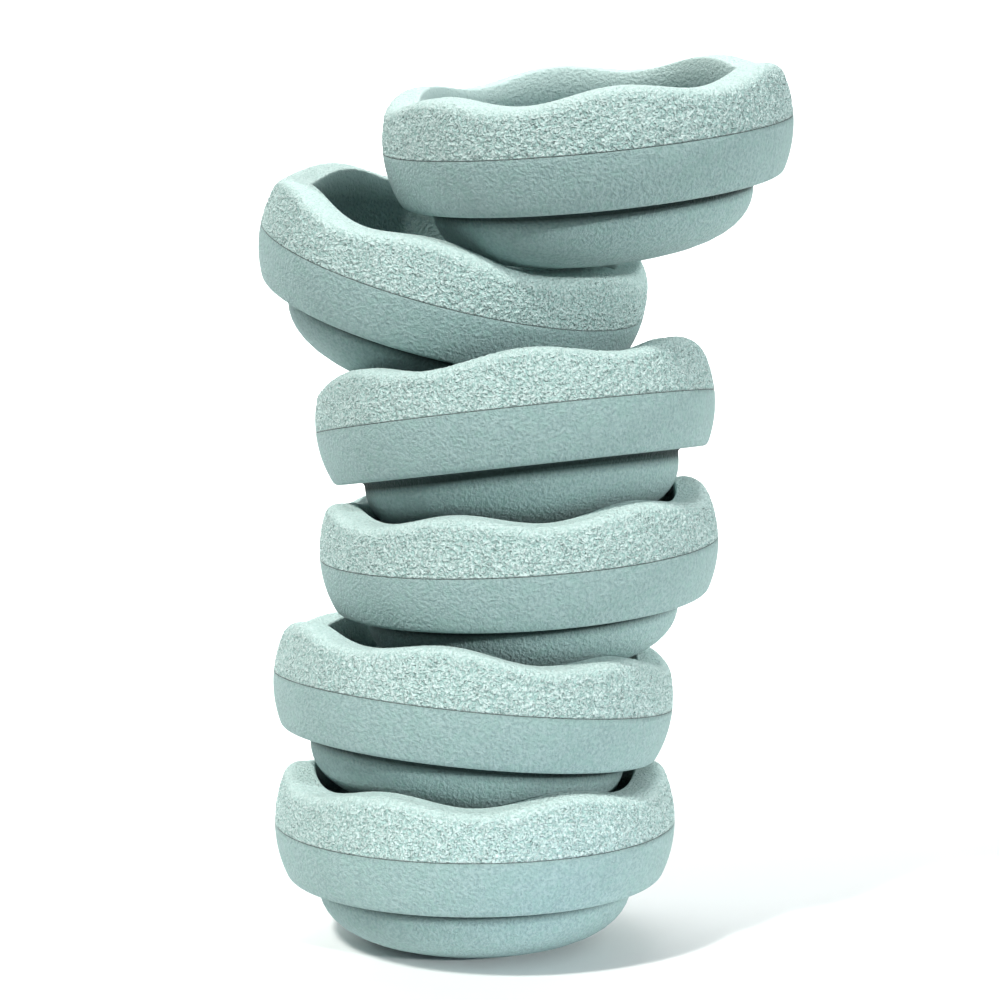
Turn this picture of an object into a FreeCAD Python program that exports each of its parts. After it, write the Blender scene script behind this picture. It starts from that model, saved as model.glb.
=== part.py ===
import FreeCAD
import Part
import math
import os

# A leaning tower of six alike stacking stones for balance play.
# Each stone is one rigid foam moulding: a thick round band, a domed underside and a bowl that opens upwards.
# Millimetres, +Z up. The origin is the middle of the flat foot of the lowest stone.
# The viewer stands at -Y, so +X is to the viewer's right. Leans and crests are in degrees.

# The band round the stone, widest at the mould's parting line
seam_radius = 137.5
upper_bulge_radius = 85.0
lower_bulge_radius = 80.0
band_below_seam = 37.3
band_edge_round = 5.0
parting_groove_depth = 0.7
parting_groove_half_width = 0.45

# The dome under the band, and how much of its tip is cut off for the flat foot it stands on
dome_root_round = 2.5
dome_side_power = 3.0
dome_bottom_power = 2.5
dome_tip_cut = 1.3
foot_below_seam = 83.5

# The wavy rim round the bowl
wave_count = 6
rim_above_seam = 33.4
wave_height = 3.8
rim_outer_round = 10.0
rim_inner_round = 2.0

# The bowl: the foam left round it and under it, and how far below the rim its wall starts to curve
rim_width = 28.0
floor_thickness = 27.5
bowl_wall_below_rim = 5.4
bowl_side_power = 3.0
bowl_bottom_power = 2.5

# The play round a dome when it sits straight in the bowl below
nest_clearance = 1.2

# The bowl and the dome, worked out from the sizes above
bowl_radius = seam_radius - rim_width
bowl_wall_top = rim_above_seam - bowl_wall_below_rim
bowl_floor_below_seam = foot_below_seam - floor_thickness
dome_radius = bowl_radius - nest_clearance
dome_depth = foot_below_seam + dome_tip_cut - band_below_seam - dome_root_round

# How far the cutter of the wavy rim stands out past the stone
cutter_overrun = 15.0

# The stacking, from the lowest stone up: where the middle of its parting line lies beside the
# tower's foot, as shares of seam_radius, how it leans, and where one crest of its rim points.
# Each stone is let down on the one below until this gap is left between them.
seat_gap = 0.3
stacking = [
    {"right_share": 0.000, "back_share": 0.000, "lean_right": 0.0, "lean_front": 0.0, "crest": 1.1},
    {"right_share": -0.007, "back_share": 0.020, "lean_right": 5.6, "lean_front": -2.5, "crest": 21.0},
    {"right_share": 0.220, "back_share": 0.112, "lean_right": -3.3, "lean_front": 3.5, "crest": 10.0},
    {"right_share": 0.201, "back_share": 0.105, "lean_right": -6.2, "lean_front": -3.2, "crest": 34.1},
    {"right_share": -0.109, "back_share": 0.355, "lean_right": 14.2, "lean_front": 13.7, "crest": 21.9},
    {"right_share": 0.549, "back_share": -0.085, "lean_right": -5.6, "lean_front": 10.8, "crest": 38.7},
]

# How finely the curves are set out, and the seat is searched
outline_count = 14
count_to_a_wave = 12
seat_outline_count = 60
seat_turn_count = 180
seat_round_count = 5

x_axis = FreeCAD.Vector(1, 0, 0)
y_axis = FreeCAD.Vector(0, 1, 0)
z_axis = FreeCAD.Vector(0, 0, 1)


def point(radius, height):
    return FreeCAD.Vector(radius, 0, height)


def power_outline(radius, top, depth, side_power, bottom_power, lowest, steps):
    """Radii and heights down a rounded bowl or dome, from its upright side to the lowest height wanted."""
    last = math.asin(min(1.0, ((top - lowest) / depth) ** (bottom_power / 2)))
    outline = []
    for step in range(steps + 1):
        angle = last * step / steps
        across = radius * max(0.0, math.cos(angle)) ** (2 / side_power)
        down = depth * math.sin(angle) ** (2 / bottom_power)
        outline.append((across, top - down))
    return outline


def dome_outline(steps):
    top = -band_below_seam - dome_root_round
    return power_outline(dome_radius, top, dome_depth, dome_side_power, dome_bottom_power,
                         -foot_below_seam, steps)


def bowl_outline(steps):
    floor = -bowl_floor_below_seam
    depth = bowl_wall_top - floor
    return power_outline(bowl_radius, bowl_wall_top, depth, bowl_side_power, bowl_bottom_power, floor, steps)


def bowl_height(radius):
    """Height of the bowl's inside at a radius."""
    depth = bowl_wall_top + bowl_floor_below_seam
    share = (radius / bowl_radius) ** bowl_side_power
    return bowl_wall_top - depth * (1 - share) ** (1 / bowl_bottom_power)


def rounding_centre(bulge_radius, edge_round, level):
    """Radius where an edge rounding is centred that meets the band's bulge and a flat at this level."""
    rise = abs(level) - edge_round
    return seam_radius - bulge_radius + math.sqrt((bulge_radius - edge_round) ** 2 - rise ** 2)


def arc(centre, radius, start, end):
    """An arc in the XZ plane from one angle to another, in radians."""
    places = []
    for turn in (start, (start + end) / 2, end):
        places.append(point(centre[0] + radius * math.cos(turn), centre[1] + radius * math.sin(turn)))
    return Part.Arc(*places).toShape()


def smooth_edge(outline, first_way, last_way):
    curve = Part.BSplineCurve()
    places = [point(*place) for place in outline]
    curve.interpolate(places, InitialTangent=first_way, FinalTangent=last_way)
    return curve.toShape()


def straight_line(start, end):
    return Part.makeLine(point(*start), point(*end))


def lower_edges():
    """The outline from the axis at the foot, round the dome and the band's lower half, to the groove."""
    dome = dome_outline(outline_count)
    dome_end = point(*dome[-1]) - point(*dome[-2])
    root = (dome_radius + dome_root_round, -band_below_seam - dome_root_round)
    corner = (rounding_centre(lower_bulge_radius, band_edge_round, band_below_seam),
              band_edge_round - band_below_seam)
    bulge = (seam_radius - lower_bulge_radius, 0)
    meeting = math.atan2(corner[1], corner[0] - bulge[0])
    groove = -math.asin(parting_groove_half_width / lower_bulge_radius)
    lip = (bulge[0] + lower_bulge_radius * math.cos(groove), -parting_groove_half_width)
    return [
        straight_line((0, -foot_below_seam), dome[-1]),
        smooth_edge(dome, -z_axis, dome_end),
        arc(root, dome_root_round, math.pi, math.pi / 2),
        straight_line((root[0], -band_below_seam), (corner[0], -band_below_seam)),
        arc(corner, band_edge_round, -math.pi / 2, meeting),
        arc(bulge, lower_bulge_radius, meeting, groove),
        straight_line(lip, (seam_radius - parting_groove_depth, 0)),
    ]


def upper_edges():
    """The outline from the groove up past the highest crest, down the bowl and back along the axis."""
    blank_top = rim_above_seam + wave_height + rim_inner_round
    bulge = (seam_radius - upper_bulge_radius, 0)
    groove = math.asin(parting_groove_half_width / upper_bulge_radius)
    last = math.asin(blank_top / upper_bulge_radius)
    lip = (bulge[0] + upper_bulge_radius * math.cos(groove), parting_groove_half_width)
    shoulder = (bulge[0] + upper_bulge_radius * math.cos(last), blank_top)
    bowl = bowl_outline(outline_count)
    return [
        straight_line((seam_radius - parting_groove_depth, 0), lip),
        arc(bulge, upper_bulge_radius, groove, last),
        straight_line(shoulder, (bowl_radius, blank_top)),
        straight_line((bowl_radius, blank_top), bowl[0]),
        smooth_edge(bowl, -z_axis, -x_axis),
        straight_line(bowl[-1], (0, -foot_below_seam)),
    ]


def rim_height(angle):
    """Height of the rim at an angle, in radians, from a crest."""
    return rim_above_seam + wave_height * math.cos(wave_count * angle)


def wave_edge(radius):
    """The rim's wave carried level out to a radius, as one closed edge."""
    count = wave_count * count_to_a_wave
    places = []
    for step in range(count):
        angle = 2 * math.pi * step / count
        places.append(FreeCAD.Vector(radius * math.cos(angle), radius * math.sin(angle), rim_height(angle)))
    curve = Part.BSplineCurve()
    curve.interpolate(places, PeriodicFlag=True)
    return curve.toShape()


def rim_cutter():
    inner = wave_edge(bowl_radius - cutter_overrun)
    outer = wave_edge(seam_radius + cutter_overrun)
    return Part.makeRuledSurface(inner, outer).extrude(z_axis * (2 * wave_height + cutter_overrun))


def rim_edges(stone):
    """The closed edges that follow the rim's wave, from the bowl's edge outwards."""
    wavy = []
    for edge in stone.Edges:
        if edge.Degenerated:
            continue
        box = edge.BoundBox
        if edge.Length > math.pi * bowl_radius and box.ZLength > wave_height:
            wavy.append(edge)
    return sorted(wavy, key=lambda edge: edge.BoundBox.XMax)


def make_stone():
    """One stone about the Z axis, with its parting line at height zero and a crest towards +X."""
    outline = Part.Wire(lower_edges() + upper_edges())
    blank = Part.Face(outline).revolve(FreeCAD.Vector(), z_axis, 360)
    stone = blank.cut(rim_cutter())
    stone = stone.makeFillet(rim_outer_round, rim_edges(stone)[-1:])
    return stone.makeFillet(rim_inner_round, rim_edges(stone)[:1])


def upper_surface(radius, angle):
    """Lowest height that a stone set on this one may reach, at a radius and an angle from a crest."""
    rim = rim_height(angle)
    inner = bowl_radius + rim_inner_round
    outer = rounding_centre(upper_bulge_radius, rim_outer_round, rim)
    bulge = seam_radius - upper_bulge_radius
    if radius < bowl_radius - seat_gap:
        return bowl_height(radius + seat_gap)
    if radius < inner:
        return rim - rim_inner_round + math.sqrt((rim_inner_round + seat_gap) ** 2 - (inner - radius) ** 2)
    if radius < outer:
        return rim + seat_gap
    if radius < outer + rim_outer_round:
        return rim - rim_outer_round + math.sqrt((rim_outer_round + seat_gap) ** 2 - (radius - outer) ** 2)
    if radius < seam_radius:
        return math.sqrt((upper_bulge_radius + seat_gap) ** 2 - (radius - bulge) ** 2)
    return -foot_below_seam


def lower_surface():
    """Radii and heights down a stone's lower side, from the band's widest to the foot."""
    centre = rounding_centre(lower_bulge_radius, band_edge_round, band_below_seam)
    bulge = seam_radius - lower_bulge_radius
    level = band_edge_round - band_below_seam
    meeting = math.atan2(level, centre - bulge)
    places = []
    for step in range(outline_count + 1):
        share = step / outline_count
        turn = meeting * share
        places.append((bulge + lower_bulge_radius * math.cos(turn), lower_bulge_radius * math.sin(turn)))
        turn = meeting + (-math.pi / 2 - meeting) * share
        places.append((centre + band_edge_round * math.cos(turn), level + band_edge_round * math.sin(turn)))
        places.append((centre + (dome_radius - centre) * share, -band_below_seam))
    return places + dome_outline(seat_outline_count)


def pose(stacked, height):
    """Where a stone stands: turned to its crest, leant, then set beside and above the tower's foot."""
    turn = FreeCAD.Rotation(x_axis, stacked["lean_front"])
    turn = turn.multiply(FreeCAD.Rotation(y_axis, stacked["lean_right"]))
    turn = turn.multiply(FreeCAD.Rotation(z_axis, stacked["crest"]))
    right = seam_radius * stacked["right_share"]
    back = seam_radius * stacked["back_share"]
    return FreeCAD.Placement(FreeCAD.Vector(right, back, height), turn)


def seated(stacked, below):
    """The pose of a stone let down along Z until the seat gap is left over the stone below."""
    standing = pose(stacked, below.Base.z)
    samples = []
    for radius, height in lower_surface():
        for step in range(seat_turn_count):
            angle = 2 * math.pi * step / seat_turn_count
            samples.append(FreeCAD.Vector(radius * math.cos(angle), radius * math.sin(angle), height))
    world_samples = [standing.multVec(sample) for sample in samples]
    into_below = below.inverse()
    upright = below.Rotation.multVec(z_axis).z
    lift = foot_below_seam
    for seat_round in range(seat_round_count):
        needed = -foot_below_seam
        for sample in world_samples:
            place = into_below.multVec(sample + z_axis * lift)
            surface = upper_surface(math.hypot(place.x, place.y), math.atan2(place.y, place.x))
            needed = max(needed, surface - place.z)
        lift += needed / upright
    return pose(stacked, standing.Base.z + lift)


def tower_poses():
    """Where each stone stands, from the lowest up."""
    poses = [pose(stacking[0], foot_below_seam)]
    for stacked in stacking[1:]:
        poses.append(seated(stacked, poses[-1]))
    return poses


os.makedirs("parts", exist_ok=True)
design = make_stone()
for number, standing_place in enumerate(tower_poses(), start=1):
    placed = design.copy()
    placed.Placement = standing_place
    placed.exportStep("parts/stone_%d.step" % number)
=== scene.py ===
import math

import bmesh
import bpy
from mathutils import Matrix, Vector, noise


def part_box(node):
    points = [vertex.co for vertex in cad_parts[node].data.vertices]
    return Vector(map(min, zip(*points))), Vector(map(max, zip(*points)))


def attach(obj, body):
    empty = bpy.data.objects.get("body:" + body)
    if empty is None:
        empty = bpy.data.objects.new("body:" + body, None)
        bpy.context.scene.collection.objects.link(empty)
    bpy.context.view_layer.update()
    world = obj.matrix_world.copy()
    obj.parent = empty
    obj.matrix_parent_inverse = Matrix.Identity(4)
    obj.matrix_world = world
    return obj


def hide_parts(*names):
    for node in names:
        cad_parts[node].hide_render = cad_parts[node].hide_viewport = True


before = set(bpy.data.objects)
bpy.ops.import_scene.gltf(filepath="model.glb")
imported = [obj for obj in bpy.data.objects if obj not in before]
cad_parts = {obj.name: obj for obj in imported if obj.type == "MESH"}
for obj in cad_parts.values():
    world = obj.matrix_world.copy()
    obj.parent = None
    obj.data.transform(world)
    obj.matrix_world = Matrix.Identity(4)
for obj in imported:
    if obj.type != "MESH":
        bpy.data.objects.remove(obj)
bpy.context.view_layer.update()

# A leaning stack of six stepping stones, each one moulding of mint bead foam.
# Sizes are in millimetres and turned to metres when a stone is put in its place.

metresPerMm = 0.001


# The stone's outline, from the foot round the band to the bowl

stone = {
    "seamRadius": 137.5,
    "upperBulge": 85.0,
    "lowerBulge": 80.0,
    "bandBelowSeam": 37.3,
    "bandEdgeRound": 5.0,
    "grooveDepth": 0.7,
    "grooveHalfWidth": 0.45,
    "domeRadius": 108.3,
    "domeRootRound": 2.5,
    "domeDepth": 45.0,
    "domeSidePower": 3.0,
    "domeBottomPower": 2.5,
    "footBelowSeam": 83.5,
    "waveCount": 6,
    "rimAboveSeam": 33.4,
    "waveHeight": 3.8,
    "rimOuterRound": 10.0,
    "rimInnerRound": 2.0,
    "bowlRadius": 109.5,
    "bowlWallTop": 28.0,
    "bowlFloorBelowSeam": 56.0,
    "bowlSidePower": 3.0,
    "bowlBottomPower": 2.5,
    "undercutShadeReach": 12.0,       # how far from the root of the dome the painted shade reaches
    "undercutShadeGain": 1.8,         # over one, so that the painted shade is darkest for some way first
    "undercutShadeFade": 2,           # the power the painted shade fades by
    "bowlPaintedShade": 0.42,   # how much painted shade the bowl gets, because it is shut in
    "lipSeamShare": 0.15,    # how much of the parting line's painted shade its lips have
    "waveSteps": 150,        # to each wave, about 1 mm apart at the seam, so that the grain is real relief
    "joinWithin": 0.001,     # corners this near are one
    "footRows": 4,
    "domeRows": 13,
    "domeCrowding": 1.6,
    "rootRows": 3,
    "undersideRows": 2,
    "edgeRows": 4,
    "lowerRows": 12,
    "upperRows": 31,
    "outerRoundRows": 11,
    "rimRows": 7,
    "innerRoundRows": 4,
    "bowlRows": 16,
}

# Degrees, from the lowest stone up: how each leans, and where one crest of its rim points
stacking = {
    "stone_1": {"leanRight": 0.0, "leanFront": 0.0, "crest": 1.1},
    "stone_2": {"leanRight": 5.6, "leanFront": -2.5, "crest": 21.0},
    "stone_3": {"leanRight": -3.3, "leanFront": 3.5, "crest": 10.0},
    "stone_4": {"leanRight": -6.2, "leanFront": -3.2, "crest": 34.1},
    "stone_5": {"leanRight": 14.2, "leanFront": 13.7, "crest": 21.9},
    "stone_6": {"leanRight": -5.6, "leanFront": 10.8, "crest": 38.7},
}

# The moulded grain, cut into the surface so that no stone grows into its neighbour
grain = {
    "depth": 1.0,            # the eroded half of the mould, above the parting line
    "lumpWidth": 2.3,
    "evenPress": 0.5,        # how deep it is, as a share, half way between lump and pit
    "contrast": 1.6,
    "fadeBelowRim": 8.0,     # the lumps die down towards the rim
    "rimShare": 0.42,        # how much of them is left there
    "drift": 40.0,           # how far the pattern is moved on from one stone to the next
}


def rimHeight(turn):
    return stone["rimAboveSeam"] + stone["waveHeight"] * math.cos(stone["waveCount"] * turn)


def roundingCentre(bulge, edgeRound, level):
    rise = abs(level) - edgeRound
    return stone["seamRadius"] - bulge + math.sqrt((bulge - edgeRound) ** 2 - rise ** 2)


def arcPoints(centre, radius, start, end, rows):
    points = []
    for row in range(rows + 1):
        turn = start + (end - start) * row / rows
        points.append((centre[0] + radius * math.cos(turn), centre[1] + radius * math.sin(turn)))
    return points


def powerPoints(radius, top, depth, sidePower, bottomPower, lowest, rows, crowding=1.0):
    # crowding over one sets the rows closer together near the top
    last = math.asin(min(1.0, ((top - lowest) / depth) ** (bottomPower / 2)))
    points = []
    for row in range(rows + 1):
        angle = last * (row / rows) ** crowding
        across = radius * max(0.0, math.cos(angle)) ** (2 / sidePower)
        points.append((across, top - depth * math.sin(angle) ** (2 / bottomPower)))
    return points


def lowerProfile():
    # rows of radius, height, share of coarse grain and share of the upper skin,
    # from the middle of the foot to the groove
    foot = -stone["footBelowSeam"]
    under = -stone["bandBelowSeam"]
    root = (stone["domeRadius"] + stone["domeRootRound"], under - stone["domeRootRound"])
    corner = (roundingCentre(stone["lowerBulge"], stone["bandEdgeRound"], under),
              under + stone["bandEdgeRound"])
    bulge = (stone["seamRadius"] - stone["lowerBulge"], 0.0)
    meeting = math.atan2(corner[1], corner[0] - bulge[0])
    lip = -math.asin(stone["grooveHalfWidth"] / stone["lowerBulge"])
    dome = powerPoints(stone["domeRadius"], root[1], stone["domeDepth"], stone["domeSidePower"],
                       stone["domeBottomPower"], foot, stone["domeRows"], stone["domeCrowding"])[::-1]
    points = [(dome[0][0] * row / stone["footRows"], foot) for row in range(stone["footRows"])]
    points += dome
    points += arcPoints(root, stone["domeRootRound"], math.pi, math.pi / 2, stone["rootRows"])[1:]
    for row in range(1, stone["undersideRows"]):
        points.append((root[0] + (corner[0] - root[0]) * row / stone["undersideRows"], under))
    points += arcPoints(corner, stone["bandEdgeRound"], -math.pi / 2, meeting, stone["edgeRows"])
    points += arcPoints(bulge, stone["lowerBulge"], meeting, lip, stone["lowerRows"])[1:]
    return [(radius, height, 0.0, 0.0) for radius, height in points]


def lumpShare(below):
    # all of the grain low on the band, eased down to the rim's share at the crest
    share = min(1.0, below / grain["fadeBelowRim"])
    return grain["rimShare"] + (1 - grain["rimShare"]) * share * share * (3 - 2 * share)


def upperProfile(rim):
    # the same from the groove over a rim of this height and down the bowl to the axis
    bulge = (stone["seamRadius"] - stone["upperBulge"], 0.0)
    outer = (roundingCentre(stone["upperBulge"], stone["rimOuterRound"], rim), rim - stone["rimOuterRound"])
    inner = (stone["bowlRadius"] + stone["rimInnerRound"], rim - stone["rimInnerRound"])
    lip = math.asin(stone["grooveHalfWidth"] / stone["upperBulge"])
    meeting = math.atan2(outer[1], outer[0] - bulge[0])
    skin = arcPoints(bulge, stone["upperBulge"], lip, meeting, stone["upperRows"])
    skin += arcPoints(outer, stone["rimOuterRound"], meeting, math.pi / 2, stone["outerRoundRows"])[1:]
    for row in range(1, stone["rimRows"]):
        skin.append((outer[0] + (inner[0] - outer[0]) * row / stone["rimRows"], rim))
    skin += arcPoints(inner, stone["rimInnerRound"], math.pi / 2, math.pi, stone["innerRoundRows"])
    grained = len(skin) - stone["innerRoundRows"]
    points = [(stone["seamRadius"] - stone["grooveDepth"], 0.0, 0.0, 1.0)]
    points += [(radius, height, lumpShare(rim - height), 1.0) for radius, height in skin[:grained]]
    points += [(radius, height, 0.0, 1.0) for radius, height in skin[grained:]]
    floor = -stone["bowlFloorBelowSeam"]
    bowl = powerPoints(stone["bowlRadius"], stone["bowlWallTop"], stone["bowlWallTop"] - floor,
                       stone["bowlSidePower"], stone["bowlBottomPower"], floor, stone["bowlRows"])
    points += [(radius, height, 0.0, 0.0) for radius, height in bowl[1:-1]]
    points.append((0.0, floor, 0.0, 0.0))
    return points


def undercutPaintedShade(radius, height):
    # painted shade in the undercut: one at the root of the dome, none some way down the dome or out under the
    # band
    away = math.hypot(radius - stone["domeRadius"], height + stone["bandBelowSeam"])
    share = max(0.0, 1.0 - away / stone["undercutShadeReach"])
    return min(1.0, stone["undercutShadeGain"] * share) ** stone["undercutShadeFade"]


def spinStone():
    # the outline is spun through one wave of the rim, its rows above the groove follow the wave,
    # and the wave is repeated round the stone
    lower = lowerProfile()
    upper = upperProfile(stone["rimAboveSeam"])
    mesh = bmesh.new()
    rowLayer = mesh.verts.layers.int.new("row")
    grainLayer = mesh.verts.layers.float.new("grainShare")
    seamShadeLayer = mesh.verts.layers.float.new("seamShare")
    upperLayer = mesh.verts.layers.float.new("upperShare")
    paintedShadeLayer = mesh.verts.layers.float.new("deepShare")
    # the parting line's painted shade, on the groove's row and more faintly on the rows beside it
    seamShadeTone = {0: 1.0, 1: stone["lipSeamShare"]}
    chain = []
    for row, (radius, height, share, upperSkin) in enumerate(lower + upper):
        vertex = mesh.verts.new((radius, 0.0, height))
        vertex[rowLayer] = row
        vertex[grainLayer] = share
        vertex[upperLayer] = upperSkin
        vertex[seamShadeLayer] = seamShadeTone.get(abs(row - len(lower)), 0.0)
        # painted shade round the root of the dome under the band, and all over the bowl
        if row < len(lower):
            vertex[paintedShadeLayer] = undercutPaintedShade(radius, height)
        # painted shade all over the bowl
        elif not upperSkin:
            vertex[paintedShadeLayer] = stone["bowlPaintedShade"]
        chain.append(vertex)
    for first, second in zip(chain, chain[1:]):
        mesh.edges.new((first, second))
    waveTurn = 2 * math.pi / stone["waveCount"]
    bmesh.ops.spin(mesh, geom=mesh.verts[:] + mesh.edges[:], cent=(0, 0, 0), axis=(0, 0, 1),
                   angle=waveTurn, steps=stone["waveSteps"], use_merge=False)
    profiles = [upperProfile(rimHeight(waveTurn * step / stone["waveSteps"]))
                for step in range(stone["waveSteps"] + 1)]
    for vertex in mesh.verts:
        row = vertex[rowLayer] - len(lower)
        if row < 0:
            continue
        turn = math.atan2(vertex.co.y, vertex.co.x)
        radius, height, share, upperSkin = profiles[round(turn * stone["waveSteps"] / waveTurn)][row]
        vertex.co = (radius * math.cos(turn), radius * math.sin(turn), height)
        vertex[grainLayer] = share
    wave = mesh.verts[:] + mesh.edges[:] + mesh.faces[:]
    for number in range(1, stone["waveCount"]):
        copied = bmesh.ops.duplicate(mesh, geom=wave)["geom"]
        corners = [item for item in copied if isinstance(item, bmesh.types.BMVert)]
        bmesh.ops.rotate(mesh, cent=(0, 0, 0), matrix=Matrix.Rotation(waveTurn * number, 3, "Z"),
                         verts=corners)
    bmesh.ops.remove_doubles(mesh, verts=mesh.verts, dist=stone["joinWithin"])
    bmesh.ops.recalc_face_normals(mesh, faces=mesh.faces)
    return mesh


def setInPlace(mesh, name):
    # turned to its crest, leant, then moved until its box lies where the frame has the stone
    pose = stacking[name]
    turn = Matrix.Rotation(math.radians(pose["leanFront"]), 4, "X")
    turn @= Matrix.Rotation(math.radians(pose["leanRight"]), 4, "Y")
    turn @= Matrix.Rotation(math.radians(pose["crest"]), 4, "Z")
    bmesh.ops.transform(mesh, matrix=Matrix.Scale(metresPerMm, 4) @ turn, verts=mesh.verts)
    low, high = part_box(name)
    move = []
    for axis in range(3):
        places = [vertex.co[axis] for vertex in mesh.verts]
        move.append((low[axis] + high[axis] - min(places) - max(places)) / 2)
    bmesh.ops.translate(mesh, vec=Vector(move), verts=mesh.verts)


def cutGrain(mesh, number):
    # the pits between the lumps, pressed in by the mould
    grainLayer = mesh.verts.layers.float["grainShare"]
    seamShadeLayer = mesh.verts.layers.float["seamShare"]
    mesh.normal_update()
    offset = Vector((number * grain["drift"], 0.0, 0.0))
    moves = []
    for vertex in mesh.verts:
        depth = grain["depth"] * vertex[grainLayer]
        if depth == 0 or vertex[seamShadeLayer] > 0:
            moves.append(Vector())
            continue
        place = vertex.co / metresPerMm + offset
        lump = noise.noise(place / grain["lumpWidth"])
        press = min(1.0, max(0.0, grain["evenPress"] - grain["contrast"] * lump))
        moves.append(vertex.normal * (-depth * press * metresPerMm))
    for vertex, move in zip(mesh.verts, moves):
        vertex.co += move


# Finishes


def hexColour(text):
    linear = []
    for place in (0, 2, 4):
        value = int(text[place:place + 2], 16) / 255
        linear.append(value / 12.92 if value <= 0.04045 else ((value + 0.055) / 1.055) ** 2.4)
    return (*linear, 1.0)


def addNode(tree, kind, settings=None, inputs=None):
    # inputs hold a value, or a node and the name of its output
    node = tree.nodes.new(kind)
    for name, value in (settings or {}).items():
        setattr(node, name, value)
    for name, value in (inputs or {}).items():
        if isinstance(value, tuple) and isinstance(value[0], bpy.types.Node):
            tree.links.new(value[0].outputs[value[1]], node.inputs[name])
        else:
            node.inputs[name].default_value = value
    return node


foam = {
    "crest": "dcf1ef",       # tops of the lumps, above the parting line, painted lighter as a painted highlight
    # pits between the lumps, painted darker as painted shade
    "pitShade": "a9cdc9",
    "rim": "cce3e0",         # where the upper skin is smooth
    "light": "a3bebd",       # the smoother skin below the line and in the bowl, set darker than the upper skin partly for its own greyer tone and partly as painted shade
    "dark": "8fabab",
    "mint": "93b8b1",
    "deep": "213a38",        # painted shade in the undercut between band and dome, and in the bowl
    # painted shade in the parting line's groove
    "line": "0d1c1d",
    # widths and heights of the relief in mm
    "lumpWidth": 1.7,
    "lumpHeight": 3.5,
    "lumpDetail": 1.0,
    "lumpWarp": 0.4,
    "lumpSpread": (0.36, 0.64),
    "moteWidth": 2.2,        # the fine mottle of the skin
    "moteHeight": 2.0,
    "moteDetail": 2.0,
    "moteGrit": 0.6,
    "moteSpread": (0.38, 0.62),
    "beadWidth": 5.0,        # the fused beads
    "beadSpread": (0.4, 1.0),
    "beadShare": 0.4,        # how much of the mint tone the greenest beads take
    "poreWidth": 0.8,        # drawn a little coarser than real so that it shows
    "poreHeight": 0.4,
    "poreDetail": 2.0,
    "poreGrit": 0.65,
    "poreStrength": 0.5,
    "roughness": 0.82,
    "sheen": 0.06,
}


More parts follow.
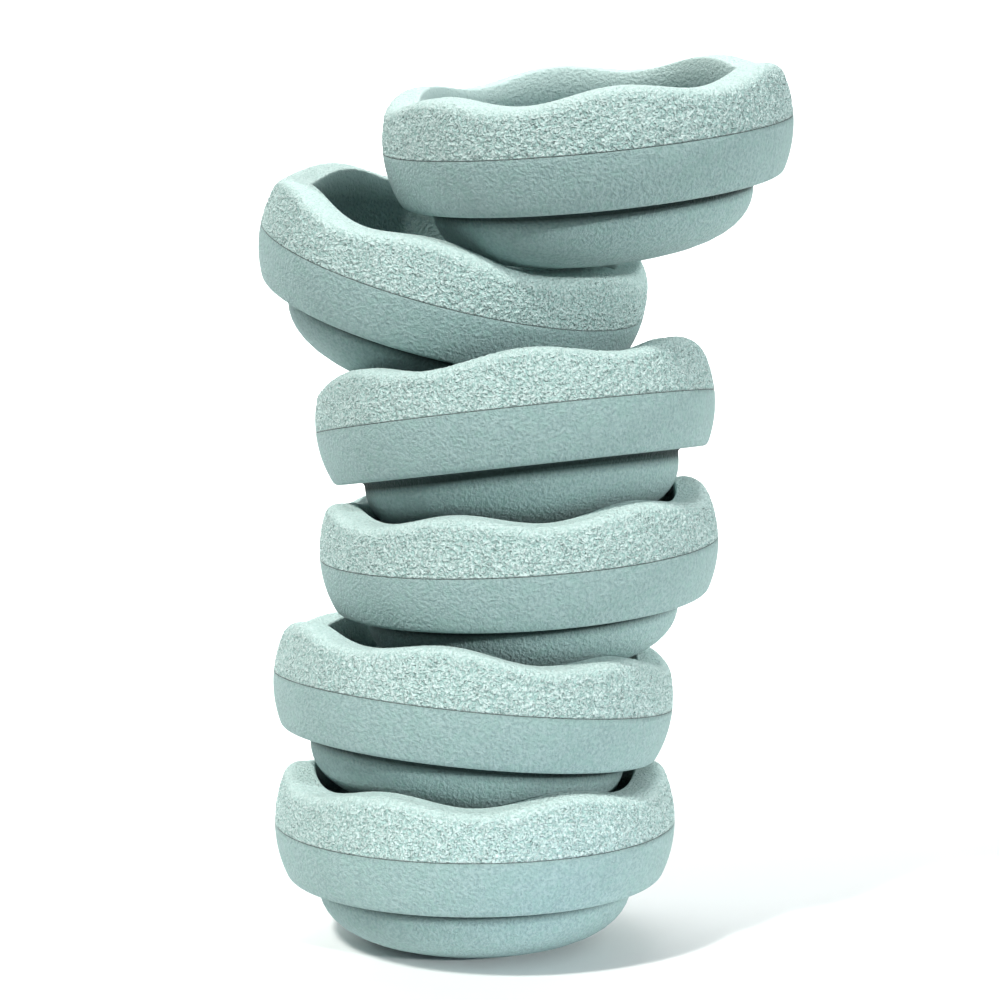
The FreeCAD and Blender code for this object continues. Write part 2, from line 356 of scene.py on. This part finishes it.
def beadFoam():
    # steam-moulded expanded polypropylene: beads swell against an eroded mould and fuse, which leaves a dull,
    # dry skin with coarse lumps on one half, a fine mottle on the other, and no clear highlight
    material = bpy.data.materials.new("steam-moulded expanded polypropylene bead foam")
    material.use_nodes = True
    tree = material.node_tree
    tree.nodes.clear()
    perMetre = 1 / metresPerMm
    place = addNode(tree, "ShaderNodeTexCoord")
    grainShare = addNode(tree, "ShaderNodeAttribute", {"attribute_name": "grainShare"})
    upperShare = addNode(tree, "ShaderNodeAttribute", {"attribute_name": "upperShare"})
    seamShare = addNode(tree, "ShaderNodeAttribute", {"attribute_name": "seamShare"})
    deepShare = addNode(tree, "ShaderNodeAttribute", {"attribute_name": "deepShare"})
    lump = addNode(tree, "ShaderNodeTexNoise", None,
                   {"Vector": (place, "Object"), "Scale": perMetre / foam["lumpWidth"],
                    "Detail": foam["lumpDetail"], "Distortion": foam["lumpWarp"]})
    mote = addNode(tree, "ShaderNodeTexNoise", None,
                   {"Vector": (place, "Object"), "Scale": perMetre / foam["moteWidth"],
                    "Detail": foam["moteDetail"], "Roughness": foam["moteGrit"]})
    bead = addNode(tree, "ShaderNodeTexVoronoi", None,
                   {"Vector": (place, "Object"), "Scale": perMetre / foam["beadWidth"]})
    pore = addNode(tree, "ShaderNodeTexNoise", None,
                   {"Vector": (place, "Object"), "Scale": perMetre / foam["poreWidth"],
                    "Detail": foam["poreDetail"], "Roughness": foam["poreGrit"]})
    # the lower skin: mottle, with some beads greener than others, in tones partly darkened as painted shade
    moteSpread = addNode(tree, "ShaderNodeMapRange", None,
                         {"Value": (mote, "Fac"), "From Min": foam["moteSpread"][0],
                          "From Max": foam["moteSpread"][1]})
    skin = addNode(tree, "ShaderNodeMix", {"data_type": "RGBA"},
                   {"Factor": (moteSpread, "Result"), "A": hexColour(foam["dark"]),
                    "B": hexColour(foam["light"])})
    beadTone = addNode(tree, "ShaderNodeSeparateColor", None, {"Color": (bead, "Color")})
    beadSpread = addNode(tree, "ShaderNodeMapRange", None,
                         {"Value": (beadTone, "Red"), "From Min": foam["beadSpread"][0],
                          "From Max": foam["beadSpread"][1], "To Max": foam["beadShare"]})
    beaded = addNode(tree, "ShaderNodeMix", {"data_type": "RGBA"},
                     {"Factor": (beadSpread, "Result"), "A": (skin, "Result"), "B": hexColour(foam["mint"])})
    # the upper skin: lumps with painted highlights and pits with painted shade, following the bumps, that
    # fade out at the rim
    lumpSpread = addNode(tree, "ShaderNodeMapRange", None,
                         {"Value": (lump, "Fac"), "From Min": foam["lumpSpread"][0],
                          "From Max": foam["lumpSpread"][1]})
    paintedLumpLightAndShade = addNode(tree, "ShaderNodeMix", {"data_type": "RGBA"},
                     {"Factor": (lumpSpread, "Result"), "A": hexColour(foam["pitShade"]),
                      "B": hexColour(foam["crest"])})
    upper = addNode(tree, "ShaderNodeMix", {"data_type": "RGBA"},
                    {"Factor": (grainShare, "Fac"), "A": hexColour(foam["rim"]), "B": (paintedLumpLightAndShade, "Result")})
    both = addNode(tree, "ShaderNodeMix", {"data_type": "RGBA"},
                   {"Factor": (upperShare, "Fac"), "A": (beaded, "Result"), "B": (upper, "Result")})
    # painted shade in the undercut under the band and in the bowl
    withPaintedShade = addNode(tree, "ShaderNodeMix", {"data_type": "RGBA"},
                       {"Factor": (deepShare, "Fac"), "A": (both, "Result"), "B": hexColour(foam["deep"])})
    # painted shade along the parting line's groove
    withSeamShade = addNode(tree, "ShaderNodeMix", {"data_type": "RGBA"},
                    {"Factor": (seamShare, "Fac"), "A": (withPaintedShade, "Result"), "B": hexColour(foam["line"])})
    fine = addNode(tree, "ShaderNodeBump", None,
                   {"Height": (pore, "Fac"), "Strength": foam["poreStrength"],
                    "Distance": foam["poreHeight"] * metresPerMm})
    medium = addNode(tree, "ShaderNodeBump", None,
                     {"Height": (mote, "Fac"), "Normal": (fine, "Normal"), "Strength": 1.0,
                      "Distance": foam["moteHeight"] * metresPerMm})
    coarse = addNode(tree, "ShaderNodeBump", None,
                     {"Height": (lump, "Fac"), "Normal": (medium, "Normal"), "Strength": (grainShare, "Fac"),
                      "Distance": foam["lumpHeight"] * metresPerMm})
    surface = addNode(tree, "ShaderNodeBsdfPrincipled", None,
                      {"Base Color": (withSeamShade, "Result"), "Normal": (coarse, "Normal"),
                       "Roughness": foam["roughness"], "Sheen Weight": foam["sheen"]})
    addNode(tree, "ShaderNodeOutputMaterial", None, {"Surface": (surface, "BSDF")})
    return material


def makeStones():
    finish = beadFoam()
    plain = spinStone()
    for number, name in enumerate(stacking):
        mesh = plain.copy()
        setInPlace(mesh, name)
        cutGrain(mesh, number)
        data = bpy.data.meshes.new("foam_" + name)
        mesh.to_mesh(data)
        mesh.free()
        data.shade_smooth()
        data.materials.append(finish)
        piece = bpy.data.objects.new("foam_" + name, data)
        bpy.context.scene.collection.objects.link(piece)
        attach(piece, name)
        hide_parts(name)
        print("stone made:", name, len(data.polygons), "faces")
    plain.free()


# The studio

studio = {
    "floorColour": "f6f7f7",
    "frontColour": "6e7474", # the paper is graded darker towards the front, out of the picture
    "gradeStart": -165.0,    # mm along Y, as the other places of the floor
    "gradeEnd": -600.0,
    "floorWidth": 9000.0,
    "floorFront": -3500.0,
    "floorBack": 2600.0,
    "sweepHeight": 4200.0,
    "sweepRound": 1200.0,
    "sweepRows": 24,
    "paperRoughness": 0.95,
    "skyColour": "f4fbff",
    "skyStrength": 0.25,
    "cameraPlace": (17.3, -1486.3, 410.7),  # mm
    "cameraPitch": 4.16,     # degrees below level
    "lens": 78.5,
    "sensor": 36.0,
}

# Two far lamps. Degrees up from level and to the right of the camera's own side, then how wide
# each looks from the stack, also in degrees
farLamps = {
    "key": {"up": 48.0, "right": -42.0, "width": 5.0, "strength": 2.75, "colour": "fffdf8"},
    "low": {"up": 16.0, "right": 42.0, "width": 3.0, "strength": 2.0, "colour": "fafcfb"},
}
# One lamp on the paper behind, and a small blue one at the foot that glows on the lowest dome.
# Places and sizes are in mm, and power is in watts
nearLamps = {
    "paper": {"place": (0, 900, 2300), "aim": (0, 2600, 900), "size": 1600, "power": 45, "colour": "ffffff"},
    "glow": {"place": (95, -215, 4), "aim": (45, -60, 30), "size": 90, "power": 0.035, "colour": "7aa9ea"},
}


def paper():
    # matt background paper, uncoated, which scatters light evenly
    material = bpy.data.materials.new("matt background paper")
    material.use_nodes = True
    tree = material.node_tree
    tree.nodes.clear()
    place = addNode(tree, "ShaderNodeTexCoord")
    axes = addNode(tree, "ShaderNodeSeparateXYZ", None, {"Vector": (place, "Object")})
    grade = addNode(tree, "ShaderNodeMapRange", {"interpolation_type": "SMOOTHSTEP"},
                    {"Value": (axes, "Y"), "From Min": studio["gradeEnd"] * metresPerMm,
                     "From Max": studio["gradeStart"] * metresPerMm})
    tone = addNode(tree, "ShaderNodeMix", {"data_type": "RGBA"},
                   {"Factor": (grade, "Result"), "A": hexColour(studio["frontColour"]),
                    "B": hexColour(studio["floorColour"])})
    surface = addNode(tree, "ShaderNodeBsdfPrincipled", None,
                      {"Base Color": (tone, "Result"), "Roughness": studio["paperRoughness"]})
    addNode(tree, "ShaderNodeOutputMaterial", None, {"Surface": (surface, "BSDF")})
    return material


def makeFloor():
    # a line across the studio, carried back along the floor and up the sweep
    half = studio["floorWidth"] / 2
    centre = (studio["floorBack"] - studio["sweepRound"], studio["sweepRound"])
    outline = [(studio["floorFront"], 0.0)]
    outline += arcPoints(centre, studio["sweepRound"], -math.pi / 2, 0.0, studio["sweepRows"])
    outline.append((studio["floorBack"], studio["sweepHeight"]))
    mesh = bmesh.new()
    chain = [mesh.verts.new((-half, back, height)) for back, height in outline]
    for first, second in zip(chain, chain[1:]):
        mesh.edges.new((first, second))
    drawn = bmesh.ops.extrude_edge_only(mesh, edges=mesh.edges[:])
    far = [item for item in drawn["geom"] if isinstance(item, bmesh.types.BMVert)]
    bmesh.ops.translate(mesh, vec=(2 * half, 0, 0), verts=far)
    bmesh.ops.scale(mesh, vec=(metresPerMm,) * 3, verts=mesh.verts)
    bmesh.ops.recalc_face_normals(mesh, faces=mesh.faces)
    data = bpy.data.meshes.new("paperSweep")
    mesh.to_mesh(data)
    mesh.free()
    data.shade_smooth()
    data.materials.append(paper())
    sweep = bpy.data.objects.new("paperSweep", data)
    bpy.context.scene.collection.objects.link(sweep)
    print("floor made")


def makeLamps():
    for name, lamp in farLamps.items():
        light = bpy.data.lights.new(name, "SUN")
        light.angle = math.radians(lamp["width"])
        light.energy = lamp["strength"]
        light.color = hexColour(lamp["colour"])[:3]
        item = bpy.data.objects.new(name, light)
        item.rotation_euler = (math.radians(90 - lamp["up"]), 0.0, math.radians(lamp["right"]))
        bpy.context.scene.collection.objects.link(item)
    for name, lamp in nearLamps.items():
        light = bpy.data.lights.new(name, "AREA")
        light.size = lamp["size"] * metresPerMm
        light.energy = lamp["power"]
        light.color = hexColour(lamp["colour"])[:3]
        item = bpy.data.objects.new(name, light)
        item.location = Vector(lamp["place"]) * metresPerMm
        aim = Vector(lamp["aim"]) * metresPerMm
        item.rotation_euler = (aim - item.location).to_track_quat("-Z", "Y").to_euler()
        item.visible_camera = False
        bpy.context.scene.collection.objects.link(item)
    world = bpy.data.worlds.new("studio")
    world.use_nodes = True
    sky = world.node_tree.nodes["Background"]
    sky.inputs["Color"].default_value = hexColour(studio["skyColour"])
    sky.inputs["Strength"].default_value = studio["skyStrength"]
    bpy.context.scene.world = world
    print("lamps made")


def makeCamera():
    data = bpy.data.cameras.new("camera")
    data.lens = studio["lens"]
    data.sensor_width = studio["sensor"]
    item = bpy.data.objects.new("camera", data)
    item.location = Vector(studio["cameraPlace"]) * metresPerMm
    item.rotation_euler = (math.radians(90 - studio["cameraPitch"]), 0.0, 0.0)
    bpy.context.scene.collection.objects.link(item)
    bpy.context.scene.camera = item
    bpy.context.scene.view_settings.view_transform = "Standard"
    print("camera made")


makeCamera()
makeStones()
makeFloor()
makeLamps()
